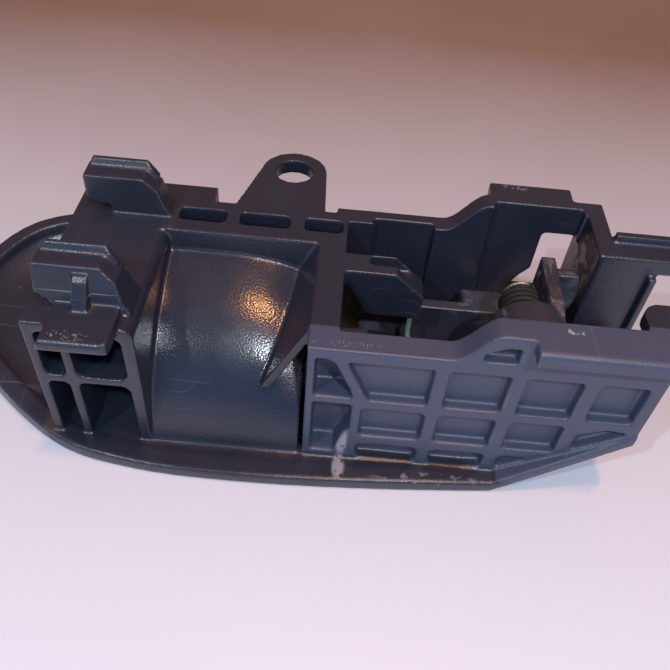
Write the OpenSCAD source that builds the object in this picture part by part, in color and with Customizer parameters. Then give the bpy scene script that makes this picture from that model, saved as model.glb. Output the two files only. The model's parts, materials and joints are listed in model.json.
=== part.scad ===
// Inside release handle of a car door, lying on its face with the mounting side up.
// X runs along the handle, Y across it, Z up. Lengths are in millimetres.

/* [Housing box] */
// Height of the low wall tops and the deck above the bezel floor
wall_h = 29.4; // [28:0.2:31]
// Height of the raised walls round the lever pivot
high_h = 35.8; // [34.5:0.1:37]
// Outside face of the rear wall
rear_y = 37.7; // [37:0.1:39]
// Inside face of the front wall
front_in = 4.7; // [4.5:0.1:5]
// Depth of the relief pockets in the front wall
pocket_d = 2.1; // [1.8:0.1:3.4]

/* [Bezel] */
// Thickness of the bezel plate
bezel_t = 2.8; // [2:0.1:3.2]
// Width of the raised rim of the bezel
rim_w = 3.4; // [2.5:0.1:4]
// Height of the rim along the front edge
rim_front = 0.4; // [0.3:0.1:1]
// Height of the rim along the rear edge
rim_rear = 7.4; // [5:0.1:8]

/* [Finger cup] */
// Thickness of the cup shell
shell_t = 2.2; // [1.6:0.1:2.6]
// Radius of the bend between the cup's steep front and its sloping top
cup_r = 9; // [7:0.5:11]

/* [Lever] */
// Radius of the pivot pin
pin_r = 1.75; // [1.5:0.05:1.9]
// Radial running clearance of the lever on its pin
pin_gap = 0.05; // [0.02:0.01:0.1]
// Radius of the lever hub and of the boss beside it
hub_r = 7; // [6.5:0.1:7.2]
// Radius of the cable quadrant
quadrant_r = 11; // [10:0.1:11.2]

/* [Return spring] */
// Radius of the spring wire
wire_r = 0.5; // [0.4:0.05:0.55]
// Turns in the coil
coil_turns = 5; // [4:1:5]

/* [Fixing] */
// Radius of the screw hole in the tab
screw_r = 3.8; // [3:0.1:4]

/* [Hidden] */
$fn = 64;
moulding = [0.20, 0.20, 0.22];
lever_grey = [0.24, 0.24, 0.26];
steel = [0.62, 0.63, 0.62];
eps = 0.01;

// ---- Bezel outline ----
// Where the bezel plate starts to slope up towards its right end, and how steeply
bend_x = 35.8;
bezel_right = 58.6;
slope = 0.63;
bezel_low = -bezel_t;
outline_points = [[bezel_right, -0.3], [36, -3.1], [10, -5.2], [-14, -6], [-32, -5], [-46, -1.4],
                  [-61, 9.2], [-72, 21], [-76, 33], [-73, 44.7], [-66.5, 53.2], [-56, 57.5],
                  [-40, 59], [-10, 59], [20, 56.5], [42, 49], [bezel_right, 37.5]];
outline_steps = 5;

function spline(a, b, c, d, t) =
    0.5 * (2 * b + (c - a) * t + (2 * a - 5 * b + 4 * c - d) * t * t
           + (3 * b - a - 3 * c + d) * t * t * t);
function open_curve(p, n) =
    let (last = len(p) - 1)
    concat([for (i = [0:last - 1]) for (k = [0:n - 1])
                spline(p[max(i - 1, 0)], p[i], p[i + 1], p[min(i + 2, last)], k / n)],
           [p[last]]);
function unit(v) = v / norm(v);
// Moves each point of a curve to its left, which is inwards for the bezel outline
function inset(p, d) =
    [for (i = [0:len(p) - 1])
        let (t = unit(p[min(i + 1, len(p) - 1)] - p[max(i - 1, 0)]))
        p[i] + d * [t.y, -t.x]];
outline = open_curve(outline_points, outline_steps);
rail_end = 70;
mid_x = (min([for (p = outline) p.x]) + rail_end) / 2;
mid_y = (min([for (p = outline) p.y]) + max([for (p = outline) p.y])) / 2;

// ---- Shared places ----
pivot = [37.5, 25];
cup_left = -28.2;
cup_right = -0.9;
cup_back = 26.4;
well_left = 5;
well_right = 49.1;
well_back = 33.6;
block_left = -46.3;
deck_t = 2.2;

// The part's own frame: origin under the middle of the outline, on the resting face
module place() {
    translate([-mid_x, -mid_y, bezel_t]) children();
}

// Extrudes an outline drawn in X and Z from y0 to y1
module along_y(y0, y1) {
    translate([0, y1, 0]) rotate([90, 0, 0]) linear_extrude(y1 - y0) children();
}

// Extrudes an outline drawn in Y and Z from x0 to x1
module along_x(x0, x1) {
    translate([x0, 0, 0]) rotate([90, 0, 90]) linear_extrude(x1 - x0) children();
}

module box(low, high) {
    translate(low) cube(high - low);
}

// Rectangle between two corners with rounded corners
module round_box(low, high, r) {
    translate(low + [r, 0]) square(high - low - [2 * r, 0]);
    translate(low + [0, r]) square(high - low - [0, 2 * r]);
    for (x = [low.x + r, high.x - r], y = [low.y + r, high.y - r]) translate([x, y]) circle(r);
}

// Disc about the pivot axis from y0 to y1
module pivot_disc(r, y0, y1) {
    along_y(y0, y1) translate(pivot) circle(r);
}

// Underside of the bezel plate at x, and its upper side
function low_at(x) = bezel_low + max(0, x - bend_x) * slope;
function floor_at(x) = low_at(x) + bezel_t;

// Side view of everything that stands on the bezel floor, up to a height
module above_floor(x0, x1, top) {
    polygon([[x0, floor_at(x0)], [max(x0, bend_x), floor_at(max(x0, bend_x))],
             [x1, floor_at(x1)], [x1, top], [x0, top]]);
}

// ---- Bezel ----
module bezel_side_view() {
    polygon([[-90, bezel_low], [bend_x, bezel_low], [bezel_right + 5, low_at(bezel_right + 5)],
             [bezel_right + 5, floor_at(bezel_right + 5)], [bend_x, 0], [-90, 0]]);
}

module bezel() {
    color(moulding) place() difference() {
        union() {
            intersection() {
                translate([0, 0, bezel_low]) linear_extrude(40) polygon(outline);
                along_y(-10, 65) bezel_side_view();
            }
            intersection() {
                difference() {
                    translate([0, 0, -1]) linear_extrude(12) polygon(outline);
                    translate([0, 0, -2]) linear_extrude(14) polygon(inset(outline, rim_w));
                }
                along_x(-90, bend_x)
                    polygon([[-10, -1], [70, -1], [70, rim_rear + 0.8], [-10, rim_front - 0.5]]);
            }
        }
        box([cup_left, 2.4, -5], [well_left + 1, cup_back, 5]);
        box([well_left, front_in, -5], [well_right, well_back, 20]);
    }
}

// ---- Finger cup ----
// The shell's side view is two straight flanks joined by a bend about this centre
steep = 66;
shallow = 26.5;
bend_mid = [13.6, 8.5];

// Region under the shell surface moved inwards by cut, down to low and back to the step wall
module cup_side_view(cut, low) {
    r = cup_r - cut;
    t1 = bend_mid + r * [cos(steep + 90), sin(steep + 90)];
    t2 = bend_mid + r * [cos(shallow + 90), sin(shallow + 90)];
    foot = t1.x - (t1.y - low) / tan(steep);
    top = t2.y + (cup_back - t2.x) * tan(shallow);
    translate(bend_mid) circle(r);
    polygon([t1, [foot, low], [cup_back, low], [cup_back, top], t2, bend_mid]);
}

// The shell falls away towards its right end on a large radius
fall_x = -14;
fall_r = 32;
fall_top = 25;
module fall_view(cut, low) {
    polygon([[cup_left - 1, low], [fall_x, low], [fall_x, fall_top - cut],
             [cup_left - 1, fall_top - cut]]);
    intersection() {
        translate([fall_x, fall_top - fall_r]) circle(fall_r - cut, $fn = 128);
        polygon([[fall_x, low], [5, low], [5, fall_top], [fall_x, fall_top]]);
    }
}

module cup_solid(cut, x0, x1, low) {
    intersection() {
        along_x(x0, x1) cup_side_view(cut, low);
        along_y(-1, 30) fall_view(cut, low);
    }
}

module finger_cup() {
    color(moulding) place() difference() {
        union() {
            cup_solid(0, cup_left, cup_right, 0);
            box([cup_left, cup_back, 0], [0, cup_back + 2, wall_h]);
            along_y(4.5, cup_back + eps)
                polygon([[0, wall_h], [-8.6, 12.4], [-6.8, 12.4], [0, wall_h - 3.4]]);
        }
        cup_solid(shell_t, cup_left - 1, cup_right + 3, -1);
    }
}

// ---- Wall between the cup and the lever well ----
module centre_wall() {
    color(moulding) place() {
        box([0, front_in, 3.6], [well_left, cup_back + 2, wall_h]);
    }
}

// ---- Block that carries the two clip hooks ----
block_right = cup_left;
cell_depth = 14;
module clip_block() {
    color(moulding) place() {
        difference() {
            along_y(0, cell_depth + 1.7) block_view();
            along_y(-1, cell_depth) {
                round_box([-44.6, -2], [-41, 14.9], 1.2);
                round_box([-44.6, 16.6], [-41, wall_h - deck_t], 1.2);
                round_box([-39.3, -2], [-30.5, 14.9], 1.6);
                round_box([-39.3, 16.6], [-30.5, wall_h - deck_t], 1.6);
            }
        }
        difference() {
            union() {
                along_y(cell_depth + 1.7, cup_back) block_view();
                box([block_left, cup_back, 0], [block_right, 40.5, wall_h]);
            }
            box([block_left + 1.8, cell_depth + 1.6, -1], [block_right - 2, 38.6, wall_h - deck_t]);
        }
    }
}

// Front view of the block, with its upper right edge rounded
edge_r = 2.4;
module block_view() {
    polygon([[block_left, 0], [block_right, 0], [block_right, wall_h - edge_r],
             [block_right - edge_r, wall_h], [block_left, wall_h]]);
    translate([block_right - edge_r, wall_h - edge_r]) circle(edge_r);
}

// ---- Clip hooks ----
hook_top = 37.1;
hook_deep = 4.7;
ridge_h = 1.4;
front_hook_y = 5.7;
rear_hook_y = 29.9;
module hook_view() {
    polygon([[-44.6, 32.4], [-43.2, 31.3], [-40.6, 31], [-40, wall_h], [-29, wall_h],
             [-30.2, 31.6], [-31.2, 34.8], [-33.7, hook_top], [-44.6, hook_top]]);
}

// Raised ridge along the rear edge of a hook's head
module hook_ridge(y) {
    intersection() {
        along_x(-46, -29)
            polygon([[y + 3.1, hook_top], [y + 4, hook_top + ridge_h],
                     [y + hook_deep, hook_top + ridge_h], [y + hook_deep, 35], [y + 3.1, 35]]);
        along_y(y, y + hook_deep)
            polygon([[-44.6, 36], [-43.6, hook_top + ridge_h], [-33.4, hook_top + ridge_h],
                     [-31.4, 35.6], [-33, 35.6]]);
    }
}

// The front hook's face leans forward to meet its tab, with a rib up the middle
module front_clip_hook() {
    color(moulding) place() {
        intersection() {
            along_y(0, front_hook_y + hook_deep) hook_view();
            along_x(-50, -20)
                polygon([[3.7, 29], [3.7, 31], [4.6, 34], [front_hook_y, hook_top],
                         [front_hook_y + hook_deep, hook_top], [front_hook_y + hook_deep, 29]]);
        }
        hook_ridge(front_hook_y);
        along_x(-37.9, -35.4) polygon([[1.5, 30.9], [3.9, 35.2], [4.8, 36], [6, 36], [6, 30.9]]);
        difference() {
            intersection() {
                along_x(-42.4, -30.6)
                    polygon([[5.7, 28.4], [-4.6, 28.4], [-5.2, 29.2], [-5.2, 30.4], [-4.6, 31],
                             [5.7, 31]]);
                linear_extrude(40) round_box([-42.4, -5.2], [-30.6, 12], 1.4);
            }
            // the block fills the space under the tab
            box([-50, 0, 25], [-20, 8, wall_h]);
            along_y(-8, 3.6) polygon([[-43, 31.2], [-41, 31.2], [-42.6, 28], [-43, 28]]);
        }
    }
}

module rear_clip_hook() {
    color(moulding) place() translate([0.9, 0, 0]) {
        along_y(rear_hook_y, rear_hook_y + hook_deep) hook_view();
        hook_ridge(rear_hook_y);
    }
}

// ---- Slotted strip behind the cup ----
module slotted_strip() {
    color(moulding) place() {
        difference() {
            box([cup_left, cup_back + 2, wall_h - 3], [well_left, 36.1, wall_h]);
            for (s = [[-27, -18.2], [-15.6, -6.1], [-3.3, 4]])
                translate([0, 0, 20]) linear_extrude(20) round_box([s[0], 29.9], [s[1], 33.4], 0.9);
        }
        box([cup_left, 36.1, wall_h - 3], [-21.2, 40.5, wall_h]);
        box([cup_left, 33.8, 0], [well_left, 36.1, wall_h - 3]);
        box([-22.8, 36.1, 0], [-21.2, 40.5, wall_h - 3]);
    }
}

// ---- Screw tab ----
screw_at = [-7, 48.6];
tab_t = 3;
module screw_tab() {
    color(moulding) place() difference() {
        translate([0, 0, wall_h - tab_t]) linear_extrude(tab_t) {
            translate(screw_at) circle(6.7);
            polygon([[-17.1, 36.1], [0.3, 36.1], [-0.3, 48.6], [screw_at.x, 50], [-13.4, 50.4]]);
        }
        translate([screw_at.x, screw_at.y, 0]) cylinder(r = screw_r, h = 60);
    }
}

// ---- Front wall of the lever well ----
// The wall top rises on a smooth step between two places
function rise(x0, x1, steps) =
    [for (i = [0:steps])
        [x0 + (x1 - x0) * i / steps, wall_h + (high_h - wall_h) * (1 - cos(180 * i / steps)) / 2]];

pocket_left = [10, 23.6, 36.2, 48.3];
pocket_right = [21.1, 33.6, 45.6, 56.3];
pocket_low = [17.2, 7.1, 0.4];
pocket_high = [26.6, 14.8, 4.5];
pocket_margin = 0.8;
front_end = bezel_right;
// Rounding of the overhanging top edge
lip_r = 1.1;
module pockets() {
    difference() {
        along_y(-1, pocket_d) {
            for (c = [0:3], r = [0:2])
                if (c + r > 0 && c * r != 3)
                    round_box([pocket_left[c], pocket_low[r]], [pocket_right[c], pocket_high[r]], 0.8);
            // the first pocket has a slanting left side, and the last one of the middle row
            // a slanting upper side
            polygon([[10.8, 17.2], [21, 17.2], [21, 26.6], [7, 26.6], [6.8, 26]]);
            polygon([[48.3, 6], [56.3, 6], [56.3, 14.6], [52.5, 14.8], [48.3, 12.8]]);
            polygon([[28.1, 29.8], [33.6, 29.8], [33.6, 33.2], [31.4, 33.2], [28.1, 31.4]]);
        }
        // a solid margin follows the sloping lower edge
        along_y(-2, 9) polygon([[bend_x - 12, 0], [bend_x, floor_at(bend_x) + pocket_margin],
                                [65, floor_at(65) + pocket_margin], [65, -5], [bend_x - 12, -5]]);
    }
}

module corner_cells() {
    along_y(-1, front_in) {
        polygon([[1.4, 17.4], [8.2, 17.4], [7.6, 19.6], [4.6, 26.2], [3.2, 27], [1.4, 27]]);
        polygon([[1.4, 1.6], [5.6, 1.6], [8.2, 9], [8.2, 15.6], [1.4, 15.6]]);
    }
}

module front_wall() {
    color(moulding) place() {
        difference() {
            union() {
                along_y(0, front_in)
                    polygon(concat([[0, 0], [bend_x, 0], [front_end, floor_at(front_end)],
                                    [front_end, high_h]],
                                   [for (p = rise(30.4, 23, 12)) [p.x, high_h + wall_h - p.y]],
                                   [[0, wall_h]]));
                box([well_left, front_in, 1.6], [9.8, 9, 26]);
                // closes the lower corner cell under the centre wall
                box([0, front_in, 0], [well_left + 1, 5.2, 3.6]);
            }
            pockets();
            corner_cells();
            pivot_disc(pin_r, 3.9, 6);
        }
        difference() {
            pivot_disc(hub_r, front_in, 7.4);
            pivot_disc(pin_r, 3.9, 8);
        }
        // thick top edge that overhangs the pockets, with an ear at its right end
        along_x(35.2, front_end)
            polygon(concat([[0, high_h - 2.8], [-3, high_h - 2.8]],
                           [for (a = [180:-18:90])
                               [lip_r - 3 + lip_r * cos(a), high_h - lip_r + lip_r * sin(a)]],
                           [[0, high_h]]));
        translate([0, 0, high_h - 2.8]) linear_extrude(2.8) {
            translate([53.6, front_in]) square([5, 3.3]);
            translate([56.6, front_in]) square([2, 6.3]);
            translate([56.6, front_in + 3.3]) circle(3);
        }
    }
}

// ---- Rear wall of the lever well ----
rear_left = 2.6;
end_out = 52.4;
module rear_wall() {
    color(moulding) place() difference() {
        union() {
            along_y(well_back, rear_y)
                polygon(concat([[well_left, 0], [bend_x, 0], [well_right, floor_at(well_right)],
                                [well_right, high_h]],
                               [for (p = rise(31, 23, 10)) [p.x, high_h + wall_h - p.y]],
                               [[well_left, wall_h]]));
            box([rear_left, 36.1, 0], [well_left + eps, rear_y, wall_h]);
            box([31.3, rear_y - eps, high_h - 2.6], [47, 41.5, high_h]);
        }
        // shallow steps in the inner face
        box([9.7, well_back - 1, 2], [21.5, 35.2, 40]);
        box([31.8, well_back - 1, 8], [48.5, 35.3, 40]);
        // window beside the cable quadrant
        along_y(30, 40) {
            round_box([42.4, 15], [well_right, 29.6], 1);
            polygon([[38.6, 15], [43.6, 15], [43.6, 20.6], [42.4, 20.6], [40.6, 18.4]]);
        }
    }
}

// ---- Block that the lever and its spring work against ----
block_front = 19.3;
block_rear = 24.4;
leg_x = 18.2;
leg_y = 20.7;
module stop_block() {
    color(moulding) place() difference() {
        along_y(block_front, block_rear)
            polygon([[well_left, wall_h], [14.2, wall_h], [19.8, 24.4], [19.8, 19], [9.8, 19],
                     [well_left, 27]]);
        translate([0, 0, 26.6]) linear_extrude(5) {
            translate([10.4, 22.9]) circle(1.1);
            translate([10.4, 21.8]) square([12, 2.2]);
        }
        // hole for the end of the spring
        translate([leg_x, leg_y, 15]) cylinder(r = wire_r + 0.1, h = 7);
    }
}

// ---- Cable rail and right end of the box ----
panel_y = 22;
module cable_rail() {
    color(moulding) place() {
        along_y(panel_y + 2.4, rear_y) above_floor(well_right, end_out, high_h);
        along_y(panel_y, panel_y + 2.4) above_floor(well_right, front_end - 0.6, high_h);
        box([end_out, panel_y + 2.4, high_h - 3.3], [rail_end, 27.6, high_h]);
        box([front_end - 0.6, panel_y, high_h - 3.3], [rail_end, panel_y + 2.4, high_h]);
        box([end_out, 26.2, high_h], [rail_end, 27.6, 37.2]);
        box([58.6, 20.6, 12.5], [60, 26, high_h - 3.3]);
        box([front_end - 1.2, 24, 18.6], [58.6, 26, high_h - 3.3]);
        cable_seat();
    }
}

// Notched end of the rail, where the outer casing of the release cable snaps in
module cable_seat() {
    difference() {
        box([rail_end - 3, panel_y, high_h], [rail_end, 26.2 + eps, 38.2]);
        translate([rail_end - 4, 24, high_h + 1.4]) rotate([0, 90, 0]) cylinder(r = 1.1, h = 5);
        box([rail_end - 4, 23.2, high_h + 1.4], [rail_end + 1, 24.8, 40]);
    }
}

// ---- Release lever ----
hub_front = 7.8;
hub_rear = 13.4;
barrel_r = 2.85;
barrel_rear = 21.6;
web_y = 24.9;
root_right = 36.6;
fin_left = 40.2;
module lever_arm() {
    color(lever_grey) place() difference() {
        union() {
            pivot_disc(hub_r, hub_front, hub_rear);
            pivot_disc(barrel_r, hub_rear, barrel_rear);
            cable_quadrant();
            // fin that holds the inner end of the cable and arches over the spring
            along_x(fin_left, 42.8)
                polygon([[hub_rear - 2, 24], [hub_rear - 2, 30.6], [14.6, 31.8], [25.5, 31.8],
                         [25.5, 24], [23.3, 24], [22.2, 29], [14.2, 29], [14.2, 24]]);
            // visible arm, with a wider pad next to the hub
            along_y(web_y, web_y + 2.6)
                polygon([[8.6, 1.2], [8.6, 11], [14, 17], [38, 17], [42, 20], [root_right, 1.2]]);
            along_y(web_y, 31.4) polygon([[28.8, 12], [28.8, 17], [38.2, 17], [38.2, 12]]);
            along_y(hub_front, hub_front + 1.8)
                polygon([[25, 1.2], [31.4, 22], [43.6, 22], [root_right, 1.2]]);
            // root plate and the core of the grip
            box([6.6, 6.2, -0.4], [root_right, 28.5, 1.6]);
            box([-24, 5.4, -0.4], [6.7, 14.6, 1.6]);
        }
        pivot_disc(pin_r + pin_gap, 0, 40);
    }
}

module cable_quadrant() {
    difference() {
        pivot_disc(quadrant_r, 23.3, 25.5);
        // only the part of the disc to the right of the fin is there
        box([0, 20, 0], [fin_left, 30, 50]);
        box([30, 20, 29.4], [60, 30, 50]);
        box([30, 20, 0], [60, 30, 18]);
    }
}

// Outer skin of the lever, which the user sees and pulls
module lever_grip() {
    color(lever_grey) place() {
        translate([0, 0, -2.6]) linear_extrude(2.2) {
            round_box([-25.6, 3.8], [5.6, 16.4], 4);
            translate([0, 5.2]) square([8.2, 11.2]);
            round_box([6.6, 5.2], [root_right, 29.5], 1.5);
        }
    }
}

// ---- Pivot pin, pressed into the front wall, and its push-on clip ----
clip_y = barrel_rear + 0.2;
module pivot_pin() {
    color(steel) place() pivot_disc(pin_r, 4, clip_y + 1);
}

module pin_clip() {
    color(steel) place() difference() {
        pivot_disc(3.2, clip_y, clip_y + 0.5);
        pivot_disc(pin_r, clip_y - 1, clip_y + 2);
    }
}

// ---- Return spring ----
coil_r = 3.55;
coil_pitch = 1.2;
coil_y = 14.4;
turn_steps = 14;
ring_sides = 8;
coil_end = coil_y + coil_pitch * coil_turns;
// One leg hooks into the stop block, the coil winds on the barrel, the other leg lies on the fin
spring_path = concat(
    [[leg_x, leg_y, 21.4], [leg_x, leg_y, 17], [leg_x, leg_y, 13.4], [leg_x + 0.6, 19.8, 12.4],
     [leg_x + 2.2, 18.6, 12.2], [26, 16.2, 15.4]],
    [for (i = [0:turn_steps * coil_turns + 5])
        let (a = -90 + 360 * i / turn_steps, f = i / turn_steps)
        [pivot.x + coil_r * cos(a), coil_y + coil_pitch * f, pivot.y + coil_r * sin(a)]],
    [[39.2, coil_end + 0.6, 30.2], [39.2, coil_end + 0.6, 31.8]]);

// Sweeps a round wire along points, carrying one direction from ring to ring
function tangent(p, i) = unit(p[min(i + 1, len(p) - 1)] - p[max(i - 1, 0)]);
function side_of(t) = unit(cross(t, abs(t.y) > 0.8 ? [1, 0, 0] : [0, 1, 0]));
module wire(p, r, sides) {
    rings = [for (i = [0:len(p) - 1])
                let (t = tangent(p, i), u = side_of(t), v = cross(t, u))
                for (k = [0:sides - 1])
                    p[i] + r * (cos(360 * k / sides) * u + sin(360 * k / sides) * v)];
    last = len(p) - 1;
    walls = [for (i = [0:last - 1], k = [0:sides - 1])
                let (a = i * sides + k, b = i * sides + (k + 1) % sides)
                [a, b, b + sides, a + sides]];
    polyhedron(rings, concat(walls, [[for (k = [sides - 1:-1:0]) k]],
                             [[for (k = [0:sides - 1]) last * sides + k]]));
}

module return_spring() {
    color(steel) place() wire(spring_path, wire_r, ring_sides);
}

// ---- Rubber pad that the closed lever rests on ----
module stop_pad() {
    color([0.08, 0.08, 0.08]) place() box([0.8, 6.4, 1.65], [4.4, 13.6, 3.6]);
}

bezel();
finger_cup();
centre_wall();
clip_block();
front_clip_hook();
rear_clip_hook();
slotted_strip();
screw_tab();
front_wall();
rear_wall();
stop_block();
cable_rail();
lever_arm();
lever_grip();
pivot_pin();
pin_clip();
return_spring();
stop_pad();
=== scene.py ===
"""Inside door release handle, mounting side up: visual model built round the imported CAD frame."""

import json
import math

import bmesh
import bpy
from mathutils import Matrix, Vector


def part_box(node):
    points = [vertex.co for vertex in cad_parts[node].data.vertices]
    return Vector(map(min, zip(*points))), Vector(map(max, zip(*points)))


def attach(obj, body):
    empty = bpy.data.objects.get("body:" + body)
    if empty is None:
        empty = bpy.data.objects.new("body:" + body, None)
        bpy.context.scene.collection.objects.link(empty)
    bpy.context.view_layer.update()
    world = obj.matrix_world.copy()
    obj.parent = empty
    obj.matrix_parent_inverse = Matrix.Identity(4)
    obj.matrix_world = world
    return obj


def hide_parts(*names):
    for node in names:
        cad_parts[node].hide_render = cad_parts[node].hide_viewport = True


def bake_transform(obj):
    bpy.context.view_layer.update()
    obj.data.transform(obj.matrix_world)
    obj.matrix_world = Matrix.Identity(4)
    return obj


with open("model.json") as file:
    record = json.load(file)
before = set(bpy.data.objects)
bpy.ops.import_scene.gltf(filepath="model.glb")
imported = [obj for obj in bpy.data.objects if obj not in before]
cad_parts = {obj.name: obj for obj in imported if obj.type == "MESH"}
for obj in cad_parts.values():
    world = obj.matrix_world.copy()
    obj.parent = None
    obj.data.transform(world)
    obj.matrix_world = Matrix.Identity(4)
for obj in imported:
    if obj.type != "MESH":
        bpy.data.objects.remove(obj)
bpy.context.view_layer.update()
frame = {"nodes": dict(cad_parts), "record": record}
nodes = frame["nodes"]

MM = 0.001

# Lengths below are millimetres in the design frame: its origin is the left end of the front
# wall's foot, on the bezel floor. The screw hole ties it to the part's own frame.
SCREW_DESIGN = Vector((-7, 48.6, 27.9))
screw = next(m for m in frame["record"]["mounts"] if m["name"] == "screw_hole")
SHIFT = Vector(screw["pos_m"]) / MM - SCREW_DESIGN

WALL_H = 29.4
FRONT_IN = 4.7
CUP_LEFT = -28.2
CUP_RIGHT = -0.9
CUP_BACK = 26.4
WELL_LEFT = 5
WELL_RIGHT = 49.1
WELL_BACK = 33.6
PIVOT = Vector((37.5, 0, 25))


# ---------------------------------------------------------------- mesh tools
def from_bmesh(name, bm):
    """Puts a finished mesh into the scene as an object."""
    mesh = bpy.data.meshes.new(name)
    bm.normal_update()
    bm.to_mesh(mesh)
    bm.free()
    obj = bpy.data.objects.new(name, mesh)
    bpy.context.scene.collection.objects.link(obj)
    return obj


def cad_copy(node):
    """A welded copy of a CAD node, in design millimetres."""
    bm = bmesh.new()
    bm.from_mesh(nodes[node].data)
    to_design = Matrix.Translation(-SHIFT) @ Matrix.Scale(1 / MM, 4)
    bmesh.ops.transform(bm, matrix=to_design, verts=bm.verts)
    bmesh.ops.remove_doubles(bm, verts=bm.verts, dist=0.0005)
    bmesh.ops.recalc_face_normals(bm, faces=bm.faces)
    return from_bmesh("copy_" + node, bm)


def apply_modifiers(obj):
    """Bakes an object's modifiers into its mesh."""
    deps = bpy.context.evaluated_depsgraph_get()
    mesh = bpy.data.meshes.new_from_object(obj.evaluated_get(deps))
    old = obj.data
    obj.modifiers.clear()
    obj.data = mesh
    bpy.data.meshes.remove(old)


def boolean(obj, other, operation):
    """Joins or cuts an object with another one, which is used up."""
    mod = obj.modifiers.new("boolean", "BOOLEAN")
    mod.operation = operation
    mod.object = other
    mod.solver = "MANIFOLD"
    bpy.context.view_layer.update()
    apply_modifiers(obj)
    mesh = other.data
    bpy.data.objects.remove(other)
    bpy.data.meshes.remove(mesh)


def box_object(low, high):
    bm = bmesh.new()
    bmesh.ops.create_cube(bm, size=1)
    size = Vector(high) - Vector(low)
    middle = (Vector(high) + Vector(low)) / 2
    bmesh.ops.scale(bm, vec=size, verts=bm.verts)
    bmesh.ops.translate(bm, vec=middle, verts=bm.verts)
    return from_bmesh("box", bm)


def prism(outline, y0, y1):
    """A closed solid from an outline in X and Z, between two places along Y."""
    bm = bmesh.new()
    front = [bm.verts.new((x, y0, z)) for x, z in outline]
    back = [bm.verts.new((x, y1, z)) for x, z in outline]
    count = len(outline)
    for k in range(count):
        n = (k + 1) % count
        bm.faces.new((front[k], front[n], back[n], back[k]))
    bm.faces.new(front)
    bm.faces.new(list(reversed(back)))
    bmesh.ops.recalc_face_normals(bm, faces=bm.faces)
    return from_bmesh("prism", bm)


def to_part_frame(obj):
    obj.data.transform(Matrix.Translation(SHIFT * MM) @ Matrix.Scale(MM, 4))
    obj.data.shade_smooth()


def keep_flats_flat(obj):
    """Face-weighted normals, so that large flats next to round edges shade flat."""
    mod = obj.modifiers.new("normals", "WEIGHTED_NORMAL")
    mod.keep_sharp = True
    mod.weight = 60
    apply_modifiers(obj)


def moulded(obj, name, voxel, passes, faces):
    """Rounds every edge of a closed solid as a mould does, and takes it to the part's frame.

    The voxel and the smoothing passes are pairs, for a full build and for a quick one; only the
    first of each is used.
    """
    obj.name = name
    pick = 0
    mod = obj.modifiers.new("remesh", "REMESH")
    mod.mode = "VOXEL"
    mod.voxel_size = voxel[pick]
    mod.use_smooth_shade = True
    mod = obj.modifiers.new("smooth", "SMOOTH")
    mod.factor = 0.5
    mod.iterations = passes[pick]
    bpy.context.view_layer.update()
    apply_modifiers(obj)
    # the remesh leaves quads, and the thinning counts triangles
    count = len(obj.data.polygons) * 2
    if count > faces:
        mod = obj.modifiers.new("thin", "DECIMATE")
        mod.ratio = faces / count
        mod.use_collapse_triangulate = True
        apply_modifiers(obj)
    to_part_frame(obj)
    keep_flats_flat(obj)
    return obj


# ---------------------------------------------------------------- bezel
# outline seen from above, from the front right corner round the left end
OUTLINE = [(58.6, -0.3), (36, -3.1), (10, -5.2), (-14, -6), (-32, -5), (-46, -1.4), (-61, 9.2),
           (-72, 21), (-76, 33), (-73, 44.7), (-66.5, 53.2), (-56, 57.5), (-40, 59), (-10, 59),
           (20, 56.5), (42, 49), (58.6, 37.5)]
OUTLINE_FRONT = -6
OUTLINE_DEPTH = 65
PLATE_T = 2.8
# right of this place the plate slopes up
BEND_X = 35.8
SLOPE = 0.63
RIM_W = 3.2
RIM_FRONT = 0.15
RIM_RISE = 6.9
# the rim fades out between these two places along the handle
RIM_FADE = (18, 36)
DISH_W = 8.5
CUP_OPENING_FRONT = 2.4


def spline(points, steps):
    """Points along a smooth open curve through the given ones."""
    last = len(points) - 1
    result = []
    for i in range(last):
        a, b, c, d = (Vector(points[max(0, min(last, k))]) for k in (i - 1, i, i + 1, i + 2))
        for k in range(steps):
            t = k / steps
            result.append(0.5 * (2 * b + (c - a) * t + (2 * a - 5 * b + 4 * c - d) * t * t
                                 + (3 * b - a - 3 * c + d) * t ** 3))
    result.append(Vector(points[last]))
    return result


def smooth_step(x, low, high):
    t = max(0.0, min(1.0, (x - low) / (high - low)))
    return t * t * (3 - 2 * t)


def rim_height(x, y):
    """The rim is low along the front edge and high at the back and round the left end."""
    rise = RIM_RISE * (y - OUTLINE_FRONT) / OUTLINE_DEPTH
    return RIM_FRONT + rise * (1 - smooth_step(x, *RIM_FADE))


def rim_section(h):
    """Distance inwards and height, from the outer lower edge to the floor."""
    edge = 0.5
    corner = 0.15
    points = [(edge, -PLATE_T), (corner, -PLATE_T + corner), (0, -PLATE_T + edge),
              (0, h - edge), (corner, h - corner), (edge, h), (RIM_W, h)]
    # a short step at the rim's inner edge, then a concave dish down to the floor
    step = 0.7
    drop = 0.35 * h
    points += [(RIM_W + step / 2, h - 0.25 * drop), (RIM_W + step, h - drop)]
    run = DISH_W * min(1.0, 0.16 + h / 5)
    parts = 8
    for k in range(1, parts):
        t = k / parts
        points.append((RIM_W + step + (run - step) * t, (h - drop) * (1 - t) ** 2.2))
    points.append((RIM_W + DISH_W, 0))
    return points


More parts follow.
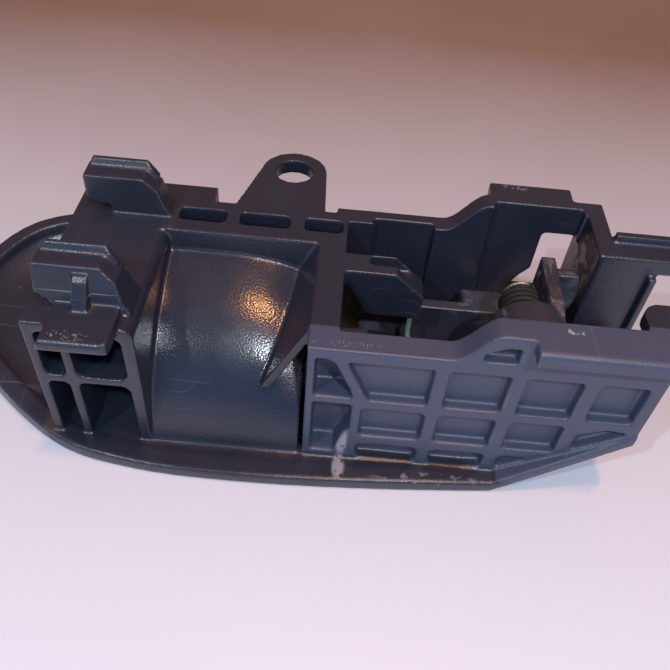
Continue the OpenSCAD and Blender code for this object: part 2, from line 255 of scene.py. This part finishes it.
def bezel_solid():
    """The oval plate with its rim and dish, open under the finger cup and the lever well."""
    curve = spline(OUTLINE, 10)
    last = len(curve) - 1
    bm = bmesh.new()
    rings = []
    for i, p in enumerate(curve):
        along = (curve[min(i + 1, last)] - curve[max(i - 1, 0)]).normalized()
        inward = Vector((along.y, -along.x))
        if i in (0, last):
            inward = Vector((0, 1 if i == 0 else -1))
        section = rim_section(rim_height(p.x, p.y))
        section.append((RIM_W + DISH_W, -PLATE_T))
        ring = []
        for d, z in section:
            q = p + inward * d
            ring.append(bm.verts.new((min(q.x, OUTLINE[0][0]), q.y, z)))
        rings.append(ring)
    count = len(rings[0])
    floor_k, under_k = count - 2, count - 1
    for a, b in zip(rings, rings[1:]):
        for k in range(count):
            # no wall where the dish ends: the floor and the underside go on inwards there
            if k != floor_k:
                n = (k + 1) % count
                bm.faces.new((a[k], b[k], b[n], a[n]))
    first, final = rings[0], rings[-1]
    bm.faces.new(first)
    bm.faces.new(list(reversed(final)))
    for k in (floor_k, under_k):
        bm.faces.new([ring[k] for ring in rings])
    bm.faces.new((first[floor_k], first[under_k], final[under_k], final[floor_k]))
    bmesh.ops.recalc_face_normals(bm, faces=bm.faces)
    # the right end slopes up: split the faces at the bend, then shear what lies beyond it
    bmesh.ops.bisect_plane(bm, geom=bm.verts[:] + bm.edges[:] + bm.faces[:], dist=0.0001,
                           plane_co=(BEND_X, 0, 0), plane_no=(1, 0, 0))
    for v in bm.verts:
        v.co.z += max(0.0, v.co.x - BEND_X) * SLOPE
    bmesh.ops.triangulate(bm, faces=bm.faces)
    obj = from_bmesh("bezel_solid", bm)
    # both cutters start below the plate, and the second reaches above its slope
    below, above, above_slope = -8, 8, 22
    cup_opening = box_object((CUP_LEFT, CUP_OPENING_FRONT, below), (WELL_LEFT + 1, CUP_BACK, above))
    boolean(obj, cup_opening, "DIFFERENCE")
    well_opening = box_object((WELL_LEFT, FRONT_IN, below), (WELL_RIGHT, WELL_BACK, above_slope))
    boolean(obj, well_opening, "DIFFERENCE")
    return obj


# ---------------------------------------------------------------- finger cup
SHELL_T = 2.2
# side view of the cup's upper surface, from inside the bezel plate to inside the step wall
CUP_CURVE = [(-0.7, -1.6), (0, 0), (2.2, 5.9), (5.5, 11.9), (10.3, 17.0), (17.6, 21.6),
             (26.9, 25.0)]
# the surface falls away to the right of this place on a large radius, and less near its foot
FALL_X = -16
FALL_R = 34
FALL_WHOLE_Z = 24
# front view of the slanting wing at the cup's right side
WING = [(0, WALL_H), (-8.6, 12.4), (-6.8, 12.4), (0, WALL_H - 3.4)]
WING_FRONT = 4.5


def cup_point(x, y, z):
    """A point of the side view moved down as the cup falls away to the right."""
    beyond = max(0.0, x - FALL_X)
    fall = FALL_R - math.sqrt(FALL_R ** 2 - beyond ** 2)
    share = max(0.0, min(1.0, z / FALL_WHOLE_Z)) ** 1.5
    return Vector((x, y, z - fall * share))


def cup_shell():
    """The recess for the fingers: a shell that is curved both ways."""
    curve = spline(CUP_CURVE, 8)
    last = len(curve) - 1
    columns = 28
    # the shell runs a little way into the clip block
    left = CUP_LEFT - 0.6
    bm = bmesh.new()
    grids = ([], [])
    for i in range(columns + 1):
        x = left + (CUP_RIGHT - left) * i / columns
        outer, inner = [], []
        for k, p in enumerate(curve):
            along = (curve[min(k + 1, last)] - curve[max(k - 1, 0)]).normalized()
            q = p + SHELL_T * Vector((along.y, -along.x))
            outer.append(bm.verts.new(cup_point(x, p.x, p.y)))
            inner.append(bm.verts.new(cup_point(x, q.x, q.y)))
        grids[0].append(outer)
        grids[1].append(inner)
    # the two surfaces, then the left and right ends between them
    strips = [pair for grid in grids for pair in zip(grid, grid[1:])]
    strips += [(grids[0][i], grids[1][i]) for i in (0, columns)]
    # then the lower and upper edges
    strips += [([c[k] for c in grids[0]], [c[k] for c in grids[1]]) for k in (0, last)]
    for a, b in strips:
        for k in range(len(a) - 1):
            bm.faces.new((a[k], a[k + 1], b[k + 1], b[k]))
    bmesh.ops.recalc_face_normals(bm, faces=bm.faces)
    return from_bmesh("cup_shell", bm)


def finger_cup():
    """The shell, the step wall behind it and the slanting wing on its right."""
    obj = cup_shell()
    step_wall = box_object((CUP_LEFT - 0.1, CUP_BACK, 0), (0, CUP_BACK + 2, WALL_H))
    boolean(obj, step_wall, "UNION")
    boolean(obj, prism(WING, WING_FRONT, CUP_BACK + 0.1), "UNION")
    return obj


# ---------------------------------------------------------------- housing
# the walls come from the CAD model; the bezel and the finger cup are built here
WALLS = ["centre_wall", "clip_block", "front_clip_hook", "rear_clip_hook", "slotted_strip",
         "screw_tab", "front_wall", "rear_wall", "stop_block", "cable_rail"]


def housing_shell():
    obj = bezel_solid()
    boolean(obj, finger_cup(), "UNION")
    for node in WALLS:
        boolean(obj, cad_copy(node), "UNION")
    return moulded(obj, "housing_shell", voxel=(0.3, 0.6), passes=(4, 2), faces=190000)


# ---------------------------------------------------------------- lever and its fittings
def lever_arm():
    obj = cad_copy("lever_arm")
    return moulded(obj, "lever_moulding", voxel=(0.24, 0.5), passes=(4, 2), faces=60000)


def lever_grip():
    obj = cad_copy("lever_grip")
    return moulded(obj, "grip_skin", voxel=(0.24, 0.5), passes=(7, 3), faces=40000)


def turned(name, profile, sides=48):
    """A solid turned about the pivot axis from (radius, y) points, in design millimetres."""
    bm = bmesh.new()
    angles = [2 * math.pi * k / sides for k in range(sides)]
    rings = []
    for radius, y in profile:
        # a ring of no radius is one vertex, shared by all sides
        ring = [bm.verts.new((PIVOT.x + radius * math.cos(a), y, PIVOT.z + radius * math.sin(a)))
                for a in (angles if radius else angles[:1])]
        rings.append(ring if radius else ring * sides)
    for a, b in zip(rings, rings[1:]):
        for k in range(sides):
            n = (k + 1) % sides
            bm.faces.new(list(dict.fromkeys((a[k], a[n], b[n], b[k]))))
    # a profile that ends where it began closes on itself
    bmesh.ops.remove_doubles(bm, verts=bm.verts, dist=0.0001)
    bmesh.ops.recalc_face_normals(bm, faces=bm.faces)
    obj = from_bmesh(name, bm)
    to_part_frame(obj)
    return obj


def design_box(node):
    low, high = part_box(node)
    return low / MM - SHIFT, high / MM - SHIFT


def pin():
    """The pivot pin, with a chamfer at each end."""
    low, high = design_box("pivot_pin")
    r = (high.x - low.x) / 2
    edge = 0.3
    return turned("pin_rod", [(0, low.y), (r - edge, low.y), (r, low.y + edge),
                              (r, high.y - edge - 0.1), (r - 0.1, high.y - edge),
                              (r - edge, high.y), (0, high.y)])


def push_on_clip():
    """A dished ring that grips the end of the pin."""
    low, high = design_box("pin_clip")
    pin_low, pin_high = design_box("pivot_pin")
    bore = (pin_high.x - pin_low.x) / 2
    r = (high.x - low.x) / 2
    edge = 0.08
    dish = 0.05
    return turned("retaining_clip", [(bore, low.y + dish), (r - edge, low.y), (r, low.y + edge),
                                     (r, high.y - edge - dish), (r - edge, high.y - dish),
                                     (bore + 0.9, high.y - edge), (bore, high.y),
                                     (bore, low.y + dish)])


def stop_pad():
    low, high = design_box("stop_pad")
    obj = box_object(low, high)
    obj.name = "buffer"
    mod = obj.modifiers.new("edges", "BEVEL")
    mod.width = 0.35
    mod.segments = 3
    apply_modifiers(obj)
    to_part_frame(obj)
    keep_flats_flat(obj)
    return obj


# ---------------------------------------------------------------- return spring
WIRE_R = 0.5
COIL_R = 3.55
COIL_FRONT = 14.4
COIL_PITCH = 1.2
COIL_TURNS = 5
COIL_END = COIL_FRONT + COIL_PITCH * COIL_TURNS
# the leg that hooks into the stop block, from its end down and across to the coil
HOOKED_LEG = [(18.2, 20.7, 21.4), (18.2, 20.7, 19), (18.2, 20.7, 17), (18.2, 20.7, 15),
              (18.3, 20.6, 13.4), (18.8, 19.8, 12.4), (20.4, 18.6, 12.2), (23, 17.3, 13.6),
              (26, 16.2, 15.4), (31, 15, 18.6)]
# the leg that stands beside the lever's fin, half a millimetre clear of it
FIN_LEG = [(39.3, COIL_END + 0.55, 29.6), (39.2, COIL_END + 0.6, 30.6),
           (39.2, COIL_END + 0.6, 31.8)]


def spring_path():
    """The wire's middle line: the hooked leg, the coil and the leg beside the fin."""
    points = [Vector(p) for p in HOOKED_LEG]
    steps = 36
    # the coil starts underneath and goes a third of a turn past its whole turns
    for i in range(steps * COIL_TURNS + steps // 3 + 1):
        turn = i / steps
        a = 2 * math.pi * turn - math.pi / 2
        points.append(Vector((PIVOT.x + COIL_R * math.cos(a), COIL_FRONT + COIL_PITCH * turn,
                              PIVOT.z + COIL_R * math.sin(a))))
    return points + [Vector(p) for p in FIN_LEG]


def swept_wire(name, points, radius, sides=12):
    """A round wire along points, with its sides kept in line from ring to ring."""
    bm = bmesh.new()
    side = None
    rings = []
    last = len(points) - 1
    for i, p in enumerate(points):
        along = (points[min(i + 1, last)] - points[max(i - 1, 0)]).normalized()
        if side is None:
            side = along.cross(Vector((0, 1, 0))).normalized()
        side = (side - along * side.dot(along)).normalized()
        other = along.cross(side)
        rings.append([bm.verts.new(p + radius * (math.cos(a) * side + math.sin(a) * other))
                      for a in (2 * math.pi * k / sides for k in range(sides))])
    for a, b in zip(rings, rings[1:]):
        for k in range(sides):
            n = (k + 1) % sides
            bm.faces.new((a[k], a[n], b[n], b[k]))
    bm.faces.new(rings[0])
    bm.faces.new(rings[-1])
    bmesh.ops.recalc_face_normals(bm, faces=bm.faces)
    obj = from_bmesh(name, bm)
    to_part_frame(obj)
    return obj


# ---------------------------------------------------------------- materials
class Nodes:
    """Short hand for building the node tree of a material or of the world."""

    def __init__(self, owner, space="Object"):
        owner.use_nodes = True
        self.owner = owner
        self.tree = owner.node_tree
        self.coords = self.add("ShaderNodeTexCoord").outputs[space]

    def add(self, kind, **settings):
        node = self.tree.nodes.new(kind)
        for key, value in settings.items():
            setattr(node, key, value)
        return node

    def link(self, a, b):
        self.tree.links.new(a, b)

    def noise(self, scale, detail, stretch=None):
        node = self.add("ShaderNodeTexNoise")
        node.inputs["Scale"].default_value = scale
        node.inputs["Detail"].default_value = detail
        source = self.coords
        if stretch:
            mapping = self.add("ShaderNodeMapping")
            mapping.inputs["Scale"].default_value = stretch
            self.link(source, mapping.inputs["Vector"])
            source = mapping.outputs["Vector"]
        self.link(source, node.inputs["Vector"])
        return node.outputs["Fac"]

    def pits(self, scale):
        """Fine round pits, as spark erosion leaves on a mould."""
        node = self.add("ShaderNodeTexVoronoi")
        node.inputs["Scale"].default_value = scale
        self.link(self.coords, node.inputs["Vector"])
        return node.outputs["Distance"]

    def near(self, centre, radii):
        """One inside an ellipsoid given in design millimetres, fading to nothing at its edge."""
        node = self.add("ShaderNodeMapping")
        middle = (Vector(centre) + SHIFT) * MM
        node.inputs["Scale"].default_value = [1 / (r * MM) for r in radii]
        node.inputs["Location"].default_value = [-c / (r * MM) for c, r in zip(middle, radii)]
        self.link(self.coords, node.inputs["Vector"])
        length = self.add("ShaderNodeVectorMath", operation="LENGTH")
        self.link(node.outputs["Vector"], length.inputs[0])
        return self.ramp(length.outputs["Value"], 1.0, 0.55)

    def marked(self, colour, roughness, marks):
        """Lays worn or dirty patches, painted highlights and painted shade over a colour, and makes
        them more matt.
        """
        for centre, radii, tint, strength, scale, low in marks:
            spot = self.ramp(self.noise(scale, 4), low, low + 0.08)
            spot = self.math("MULTIPLY", self.near(centre, radii), spot)
            colour = self.mix(self.math("MULTIPLY", spot, strength), colour, tint)
            roughness = self.math("ADD", roughness, self.math("MULTIPLY", spot, 0.25))
        return colour, roughness

    def ramp(self, value, low, high, out_low=0.0, out_high=1.0):
        """Carries the span low to high over to the span out_low to out_high, and no further."""
        node = self.add("ShaderNodeMapRange", clamp=True)
        spans = {"From Min": low, "From Max": high, "To Min": out_low, "To Max": out_high}
        for key, number in spans.items():
            node.inputs[key].default_value = number
        self.link(value, node.inputs["Value"])
        return node.outputs["Result"]

    def math(self, operation, a, b):
        node = self.add("ShaderNodeMath", operation=operation)
        for socket, value in zip(node.inputs, (a, b)):
            if isinstance(value, (int, float)):
                socket.default_value = value
            else:
                self.link(value, socket)
        return node.outputs["Value"]

    def mix(self, factor, a, b, blend="MIX"):
        """Mixes two colours, each given as a tuple or as another node's output."""
        node = self.add("ShaderNodeMix", data_type="RGBA", blend_type=blend)
        self.link(factor, node.inputs["Factor"])
        # sockets 6 and 7 take the colours, and 2 gives the mixed one
        for socket, value in ((node.inputs[6], a), (node.inputs[7], b)):
            if isinstance(value, tuple):
                socket.default_value = (*value, 1)
            else:
                self.link(value, socket)
        return node.outputs[2]

    def bump(self, height, distance, before=None):
        node = self.add("ShaderNodeBump")
        node.inputs["Strength"].default_value = 1.0
        node.inputs["Distance"].default_value = distance
        self.link(height, node.inputs["Height"])
        if before is not None:
            self.link(before, node.inputs["Normal"])
        return node.outputs["Normal"]

    def finish(self, colour, rough, normal, metallic=0.0):
        """Joins a material's results to its shader and gives the material back."""
        inputs = self.tree.nodes["Principled BSDF"].inputs
        self.link(colour, inputs["Base Color"])
        self.link(rough, inputs["Roughness"])
        self.link(normal, inputs["Normal"])
        inputs["Metallic"].default_value = metallic
        return self.owner


def new_material(name):
    return Nodes(bpy.data.materials.new(name))


def toned(colour, factor):
    return tuple(factor * c for c in colour)


def beyond_place(n, place):
    """One to the right of a place in the part's frame, in front of it and above it."""
    split = n.add("ShaderNodeSeparateXYZ")
    n.link(n.coords, split.inputs[0])
    right = n.ramp(split.outputs["X"], place.x - 0.0002, place.x + 0.0002)
    before = n.ramp(split.outputs["Y"], place.y + 0.0003, place.y)
    above = n.ramp(split.outputs["Z"], place.z, place.z + 0.0004)
    return n.math("MULTIPLY", n.math("MULTIPLY", right, before), above)


def hair_lines(n, scale, stretch, level):
    """Distance from the thin contour lines of a noise stretched along the scratches."""
    across = n.math("SUBTRACT", n.noise(scale, 0, stretch=stretch), level)
    return n.math("ABSOLUTE", across, 0)


def plastic(name, base, rubbed, rough, grain=0.000024, marks=(), dull_from=None, polished=None):
    """Moulded plastic: spark-eroded grain, faint clouding, hair scratches and rubbed edges."""
    n = new_material(name)
    cloud = n.ramp(n.noise(70, 4), 0.3, 0.7)
    colour = n.mix(cloud, toned(base, 0.86), toned(base, 1.12))
    wear = n.ramp(n.noise(120, 3), 0.35, 0.7, rough - 0.04, rough + 0.05)
    if polished:
        wear = n.math("SUBTRACT", wear, n.math("MULTIPLY", n.near(*polished), 0.12))
    if dull_from:
        # the ribbed wall is paler and more matt than the rest
        dull = beyond_place(n, dull_from)
        colour = n.mix(n.math("MULTIPLY", dull, 0.9), colour, toned(base, 3.3))
        wear = n.math("ADD", wear, n.math("MULTIPLY", dull, 0.12))
    # hair scratches, which a broad mask lets show only here and there
    mask = n.ramp(n.noise(38, 3), 0.54, 0.62)
    along_y = hair_lines(n, 150, (1, 0.03, 1), 0.5)
    along_x = hair_lines(n, 130, (0.03, 1, 0.8), 0.47)
    lines = n.ramp(n.math("MINIMUM", along_y, along_x), 0.006, 0.002)
    scratch = n.math("MULTIPLY", lines, mask)
    colour = n.mix(n.math("MULTIPLY", scratch, 0.3), colour, rubbed)
    # edges rubbed lighter
    point = n.add("ShaderNodeNewGeometry").outputs["Pointiness"]
    uneven = n.ramp(n.noise(260, 3), 0.35, 0.62, 0.15, 1.0)
    edge = n.math("MULTIPLY", n.ramp(point, 0.53, 0.62), uneven)
    colour = n.mix(n.math("MULTIPLY", edge, 0.55), colour, rubbed)
    # dust that gathers in hollows
    uneven = n.ramp(n.noise(400, 4), 0.4, 0.7)
    hollow = n.math("MULTIPLY", n.ramp(point, 0.48, 0.42), uneven)
    colour = n.mix(n.math("MULTIPLY", hollow, 0.25), colour, DUST)
    roughness = n.math("ADD", wear, n.math("MULTIPLY", scratch, 0.12))
    colour, roughness = n.marked(colour, roughness, marks)
    normal = n.bump(n.pits(2800), grain)
    normal = n.bump(scratch, 0.000004, normal)
    return n.finish(colour, roughness, normal)


def steel(name, base, tint, rough, lay, marks=(), metallic=1.0):
    """Drawn or stamped steel with marks along one direction and dull patches."""
    n = new_material(name)
    patch = n.ramp(n.noise(500, 4), 0.38, 0.66)
    colour = n.mix(patch, base, tint)
    streak = n.noise(4000, 2, stretch=lay)
    roughness = n.math("ADD", n.ramp(streak, 0.3, 0.7, rough - 0.08, rough + 0.08),
                       n.math("MULTIPLY", patch, 0.12))
    colour, roughness = n.marked(colour, roughness, marks)
    return n.finish(colour, roughness, n.bump(streak, 0.000008), metallic)


def rubber(name):
    n = new_material(name)
    colour = n.mix(n.ramp(n.noise(300, 4), 0.35, 0.7), (0.012, 0.012, 0.012), (0.03, 0.029, 0.028))
    roughness = n.ramp(n.noise(900, 2), 0.3, 0.7, 0.7, 0.9)
    return n.finish(colour, roughness, n.bump(n.noise(1800, 3), 0.00003))


DUST = (0.09, 0.075, 0.07)
PALE = (0.42, 0.41, 0.43)
PAINTED_SHADOW_BROWN = (0.045, 0.026, 0.013)
NEAR_BLACK = (0.006, 0.004, 0.003)
SPECKS = (0.25, 0.15, 0.08)
PAINTED_WARM_REFLECTION = (0.05, 0.018, 0.008)
# worn or dirty places, painted highlights and painted shade: centre, radii, colour, strength, noise
# scale and its threshold
HOUSING_MARKS = [
    # a pale stripe down the curved end of a rib and onto the bezel floor: partly a scuff, partly a
    # painted highlight of the glint on that curve
    ((7.2, -0.1, 5), (1.2, 1.6, 5.4), PALE, 0.5, 800, 0.36),
    ((7, -2.4, 0.2), (1.4, 3.2, 1.6), PALE, 0.5, 900, 0.36),
    # painted reflection: the wing's face coloured orange-brown where it catches the warm light
    ((-2.2, 9, 18), (4, 9, 11), PAINTED_WARM_REFLECTION, 0.8, 3000, 0.45),
    ((41.4, 2.6, 35.8), (1.8, 1.2, 0.8), PALE, 0.5, 1100, 0.54),
    # painted highlight: a pale strip along the front edge of the tab's top, where the ceiling lamp
    # glints
    ((-37, -3.4, 31), (4, 1.3, 0.8), PALE, 0.3, 1800, 0.54),
    # painted highlight: a pale line along the ribbed wall's rounded top edge
    ((6, 1.7, 29.4), (8, 0.9, 0.6), PALE, 0.22, 2400, 0.56),
    ((36, 40.4, 35.8), (3.2, 1.2, 0.6), PALE, 0.2, 1300, 0.54),
    # painted highlight: a pale line along the bezel's outer top edge in front
    ((24, -3.6, 0), (14, 2, 1), PALE, 0.25, 700, 0.55),
    ((49.2, 28.5, 31), (1.6, 7, 9), NEAR_BLACK, 0.75, 450, 0.42),
    ((8, 5, 29.4), (12, 1.3, 0.8), SPECKS, 0.4, 3400, 0.62),
    ((31.5, 4.6, 31), (4.5, 3.2, 6), NEAR_BLACK, 0.8, 600, 0.46),
    ((-37.5, 3.9, 32.9), (8, 1.4, 0.14), PALE, 0.3, 90, 0.1),
    # painted shadow: a dark brown band on the bezel along the clip block's left foot, where the
    # block shades the floor
    ((-47, 12, 3), (2.5, 26, 6), PAINTED_SHADOW_BROWN, 0.8, 60, 0.2),
]
LEVER_MARKS = [
    ((37.5, 17.5, 27), (8, 5.5, 9), NEAR_BLACK, 0.9, 500, 0.36),
    ((33, 11, 30), (5, 4, 4), NEAR_BLACK, 0.8, 700, 0.48),
]
# the coil coloured near black all over: grease, with painted shade where the coil lies deep in the
# well
SPRING_GREASE_AND_SHADE = [
    ((36, 18, 25), (13, 14, 15), NEAR_BLACK, 1.0, 700, 0.0),
]
# centre and radii of the smoothest part of the finger cup
CUP_FACE = ((-15, 12, 14), (26, 30, 30))
# the ribbed wall lies to the right of this place, in front of it and above it
WALL_FACE = (Vector((-0.3, 5.2, 0.4)) + SHIFT) * MM
MATERIALS = {
    "housing_plastic": plastic("housing_plastic", (0.012, 0.014, 0.024), (0.12, 0.118, 0.135),
                               0.34, marks=HOUSING_MARKS, dull_from=WALL_FACE,
                               polished=CUP_FACE),
    "lever_plastic": plastic("lever_plastic", (0.019, 0.020, 0.030), (0.11, 0.108, 0.125), 0.34,
                             marks=LEVER_MARKS),
    "grip_plastic": plastic("grip_plastic", (0.022, 0.023, 0.030), (0.11, 0.108, 0.12), 0.24,
                            grain=0.000006),
    "pin_steel": steel("pin_steel", (0.52, 0.51, 0.50), (0.34, 0.31, 0.28), 0.34, (1, 1, 0.1)),
    "clip_steel": steel("clip_steel", (0.50, 0.46, 0.36), (0.36, 0.31, 0.22), 0.38, (1, 0.2, 1)),
    "spring_steel": steel("spring_steel", (0.20, 0.26, 0.235), (0.12, 0.15, 0.135), 0.42,
                          (1, 1, 1), marks=SPRING_GREASE_AND_SHADE, metallic=0.3),
    "pad_rubber": rubber("pad_rubber"),
}


def fit(obj, slot, body, *replaced):
    """Gives a piece its material, puts it on its body if it has one, and hides the CAD nodes it
    stands for.
    """
    obj.data.materials.clear()
    obj.data.materials.append(MATERIALS[slot])
    if body:
        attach(obj, body)
    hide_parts(*replaced)


fit(housing_shell(), "housing_plastic", "housing", "bezel", "finger_cup", *WALLS)
fit(lever_arm(), "lever_plastic", "lever", "lever_arm")
fit(lever_grip(), "grip_plastic", "lever", "lever_grip")
fit(pin(), "pin_steel", "housing", "pivot_pin")
fit(push_on_clip(), "clip_steel", "housing", "pin_clip")
fit(stop_pad(), "pad_rubber", "housing", "stop_pad")

# the spring is one piece on no body, and its place is baked into its mesh
spring = swept_wire("torsion_spring", spring_path(), WIRE_R)
fit(spring, "spring_steel", None, "return_spring")
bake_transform(spring)


# ---------------------------------------------------------------- camera, floor and light
CAMERA_AT = (0.006491, -0.103456, 0.116775)
CAMERA_TOWARDS = Vector((0.0059, 0.68836, -0.72534)).normalized()
CAMERA_ROLL = math.radians(5.58)
TABLE_FRONT_LIT = (0.72, 0.76, 0.86)
TABLE_BACK_SHADED = (0.22, 0.12, 0.075)
TABLE_CLOUD = (0.9, 0.88, 0.86)
FRONT_GLOW = (0.15, 0.27, 0.57)
BACK_GLOW = (0.16, 0.07, 0.04)
TOP_GLOW = (0.14, 0.095, 0.09)
# name, place, width and depth, power and colour
LAMPS = [
    ("ceiling_lamp", (0.09, -0.075, 0.62), (0.07, 0.015), 1.6, (1.0, 0.42, 0.15)),
    ("front_right", (0.13, -0.38, 0.53), (0.035, 0.035), 2.3, (0.84, 0.92, 1.0)),
    ("front_left", (-0.31, -0.38, 0.53), (0.02, 0.02), 1.5, (0.82, 0.91, 1.0)),
]


def camera():
    data = bpy.data.cameras.new("camera")
    data.sensor_width = 36
    data.lens = 38.61
    cam = bpy.data.objects.new("camera", data)
    bpy.context.scene.collection.objects.link(cam)
    right = CAMERA_TOWARDS.cross(Vector((0, 0, 1))).normalized()
    up = right.cross(CAMERA_TOWARDS)
    x_axis = math.cos(CAMERA_ROLL) * right + math.sin(CAMERA_ROLL) * up
    y_axis = -math.sin(CAMERA_ROLL) * right + math.cos(CAMERA_ROLL) * up
    turn = Matrix((x_axis, y_axis, -CAMERA_TOWARDS)).transposed()
    cam.matrix_world = Matrix.Translation(CAMERA_AT) @ turn.to_4x4()
    bpy.context.scene.camera = cam


def floor():
    """A pale table top, painted a good deal darker and warmer towards the back: painted fall-off of
    the lamps' light.
    """
    bm = bmesh.new()
    bmesh.ops.create_grid(bm, x_segments=1, y_segments=1, size=1.5)
    obj = from_bmesh("table", bm)
    n = new_material("table")
    split = n.add("ShaderNodeSeparateXYZ")
    n.link(n.coords, split.inputs[0])
    # painted light and shade: bright and cool in front, dark and warm at the back
    colour = n.mix(n.ramp(split.outputs["Y"], -0.085, 0.165), TABLE_FRONT_LIT, TABLE_BACK_SHADED)
    colour = n.mix(n.ramp(n.noise(9, 3), 0.3, 0.7, 0.0, 0.06), colour, TABLE_CLOUD)
    roughness = n.ramp(n.noise(30, 3), 0.3, 0.7, 0.42, 0.5)
    obj.data.materials.append(n.finish(colour, roughness, n.bump(n.noise(500, 2), 0.00001)))


def lamp(name, at, size, power, colour):
    """A rectangular soft light aimed at the handle."""
    data = bpy.data.lights.new(name, "AREA")
    data.shape = "RECTANGLE"
    data.size, data.size_y = size
    data.energy = power
    data.color = colour
    obj = bpy.data.objects.new(name, data)
    bpy.context.scene.collection.objects.link(obj)
    obj.location = at
    obj.rotation_euler = (-Vector(at)).to_track_quat("-Z", "Y").to_euler()


def surroundings():
    """Soft light from all round: cool from in front and warm from behind, brighter above."""
    world = bpy.data.worlds.new("surroundings")
    bpy.context.scene.world = world
    n = Nodes(world, "Generated")
    split = n.add("ShaderNodeSeparateXYZ")
    n.link(n.coords, split.inputs[0])
    sides = n.mix(n.ramp(split.outputs["Y"], -0.8, 0.6), FRONT_GLOW, BACK_GLOW)
    glow = n.mix(n.ramp(split.outputs["Z"], 0.3, 1.0), sides, TOP_GLOW, blend="ADD")
    n.link(glow, n.tree.nodes["Background"].inputs["Color"])


camera()
floor()
for row in LAMPS:
    lamp(*row)
surroundings()
view = bpy.context.scene.view_settings
view.view_transform = "Standard"
view.gamma = 1.12
